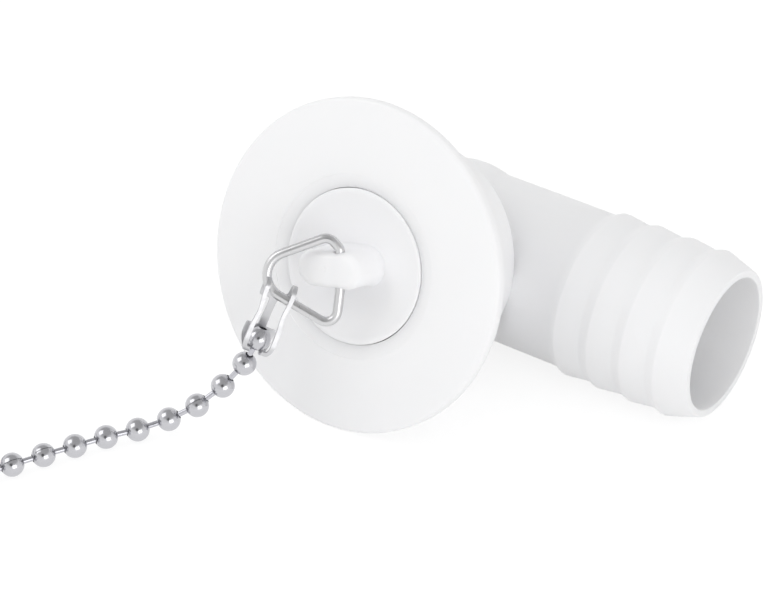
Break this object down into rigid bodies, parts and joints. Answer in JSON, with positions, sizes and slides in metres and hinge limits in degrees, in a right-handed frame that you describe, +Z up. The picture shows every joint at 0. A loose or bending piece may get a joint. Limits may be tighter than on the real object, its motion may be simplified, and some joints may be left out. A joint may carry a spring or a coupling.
{
  "type": "drain plug",
  "caption": "White plastic angled sink outlet with barbed hose tail, and a plug in its seat with a wire bail and a ball chain that ends in a ring, lying on its side.",
  "frame": {"origin": "on the floor it lies on, under the middle of its bounding box", "axes": "+X along the hose tail towards its mouth, +Z up from the floor, the flange's face looks towards -Y and a little up"},
  "size_m": [0.1236, 0.1132, 0.047],
  "materials": {
    "white_outlet": "semi-gloss",
    "white_plug": "semi-gloss",
    "bead_steel": "polished nickel plate",
    "pin_steel": "bright",
    "strip_steel": "bright",
    "wire_steel": "bright drawn wire"
  },
  "bodies": {
    "outlet": {"outlet_body": "white_outlet", "outlet_tail": "white_outlet"},
    "plug": {"drain_plug": "white_plug"},
    "bail": {"plug_bail": "wire_steel"},
    "coupling": {"chain_coupling": "strip_steel"},
    "link_00": {"bead_00": "bead_steel", "pin_00": "pin_steel"},
    "link_01": {"bead_01": "bead_steel", "pin_01": "pin_steel"},
    "link_02": {"bead_02": "bead_steel", "pin_02": "pin_steel"},
    "link_03": {"bead_03": "bead_steel", "pin_03": "pin_steel"},
    "link_04": {"bead_04": "bead_steel", "pin_04": "pin_steel"},
    "link_05": {"bead_05": "bead_steel", "pin_05": "pin_steel"},
    "link_06": {"bead_06": "bead_steel", "pin_06": "pin_steel"},
    "link_07": {"bead_07": "bead_steel", "pin_07": "pin_steel"},
    "link_08": {"bead_08": "bead_steel", "pin_08": "pin_steel"},
    "link_09": {"bead_09": "bead_steel", "pin_09": "pin_steel"},
    "chain_tail": {"chain_rest": "bead_steel"},
    "end_fitting": {"end_coupling": "strip_steel"},
    "ring": {"end_ring": "wire_steel"}
  },
  "joints": [
    {"name": "plug_pull", "type": "slide", "parent": "outlet", "child": "plug", "axis": [0, -0.9325, 0.3611], "range_m": [0, 0.022]},
    {"name": "bail_swing", "type": "hinge", "parent": "plug", "child": "bail", "pos_m": [0.0139, 0.01279, 0.02498], "axis": [-0.2351, 0.3509, 0.9064], "range_deg": [-26, 110]},
    {"name": "coupling_swing", "type": "hinge", "parent": "bail", "child": "coupling", "pos_m": [0.00707, 0.00651, 0.02146], "axis": [0.8453, 0.2889, -0.4494], "range_deg": [-20, 30]},
    {"name": "chain_00", "type": "hinge", "parent": "coupling", "child": "link_00", "pos_m": [0.00616, 0.00286, 0.01532], "axis": [0.8691, 0.3577, -0.3416], "range_deg": [-20, 20]},
    {"name": "chain_01", "type": "hinge", "parent": "link_00", "child": "link_01", "pos_m": [0.00496, 0.00162, 0.01212], "axis": [-0.6111, -0.6328, 0.4756], "range_deg": [-20, 20]},
    {"name": "chain_02", "type": "hinge", "parent": "link_01", "child": "link_02", "pos_m": [0.00294, -0.0008, 0.00847], "axis": [0.7771, -0.6293, 0], "range_deg": [-20, 20]},
    {"name": "chain_03", "type": "hinge", "parent": "link_02", "child": "link_03", "pos_m": [0.00057, -0.00391, 0.00562], "axis": [0.3272, 0.439, -0.8368], "range_deg": [-20, 20]},
    {"name": "chain_04", "type": "hinge", "parent": "link_03", "child": "link_04", "pos_m": [-0.00244, -0.00691, 0.00331], "axis": [-0.6717, 0.7408, 0], "range_deg": [-20, 20]},
    {"name": "chain_05", "type": "hinge", "parent": "link_04", "child": "link_05", "pos_m": [-0.00553, -0.01038, 0.00204], "axis": [-0.1265, -0.1518, 0.9803], "range_deg": [-20, 20]},
    {"name": "chain_06", "type": "hinge", "parent": "link_05", "child": "link_06", "pos_m": [-0.00834, -0.01432, 0.0018], "axis": [0.829, -0.5592, 0], "range_deg": [-20, 20]},
    {"name": "chain_07", "type": "hinge", "parent": "link_06", "child": "link_07", "pos_m": [-0.0108, -0.01851, 0.0018], "axis": [0, 0, -1], "range_deg": [-20, 20]},
    {"name": "chain_08", "type": "hinge", "parent": "link_07", "child": "link_08", "pos_m": [-0.01318, -0.02274, 0.0018], "axis": [-0.8712, 0.4909, 0], "range_deg": [-20, 20]},
    {"name": "chain_09", "type": "hinge", "parent": "link_08", "child": "link_09", "pos_m": [-0.0155, -0.02702, 0.0018], "axis": [0, 0, 1], "range_deg": [-20, 20]},
    {"name": "chain_10", "type": "hinge", "parent": "link_09", "child": "chain_tail", "pos_m": [-0.01779, -0.0313, 0.0018], "axis": [0.8821, -0.471, 0], "range_deg": [-20, 20]},
    {"name": "end_swing", "type": "hinge", "parent": "chain_tail", "child": "end_fitting", "pos_m": [-0.04653, -0.04335, 0.00225], "axis": [-0.9357, -0.3527, 0], "range_deg": [-15, 10]},
    {"name": "ring_turn", "type": "hinge", "parent": "end_fitting", "child": "ring", "pos_m": [-0.05067, -0.03239, 0.00089], "axis": [0.0221, -0.0585, -0.998], "continuous": true}
  ]
}
